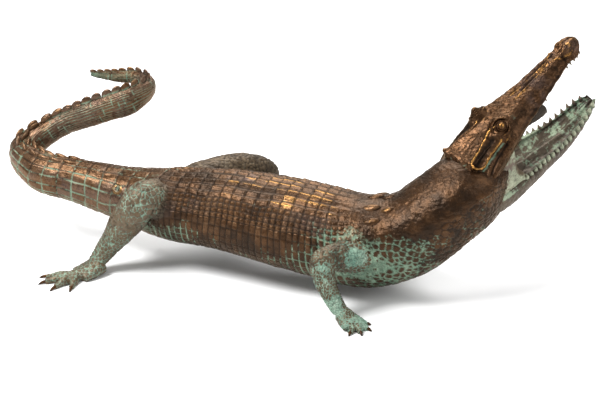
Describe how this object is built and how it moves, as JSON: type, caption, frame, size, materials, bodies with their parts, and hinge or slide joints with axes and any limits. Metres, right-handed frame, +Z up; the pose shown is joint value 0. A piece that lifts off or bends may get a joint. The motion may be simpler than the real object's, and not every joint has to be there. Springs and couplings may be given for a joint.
{
  "type": "bronze crocodile sculpture",
  "caption": "Cast bronze crocodile standing on its four feet, neck reared and head turned away with the jaws wide open, the crested tail bent back over itself in an S.",
  "frame": {"origin": "middle of the bounding box on the plane of the soles", "axes": "+X from the tail bend towards the head, along the longest side; +Y towards the head's far side; +Z up"},
  "size_m": [0.7454, 0.3918, 0.2995],
  "materials": {
    "bronze_patina": "dark brown patina with rubbed golden scutes and pale green verdigris in the grooves"
  },
  "bodies": {
    "root": {"crocodile": "bronze_patina"}
  },
  "joints": []
}
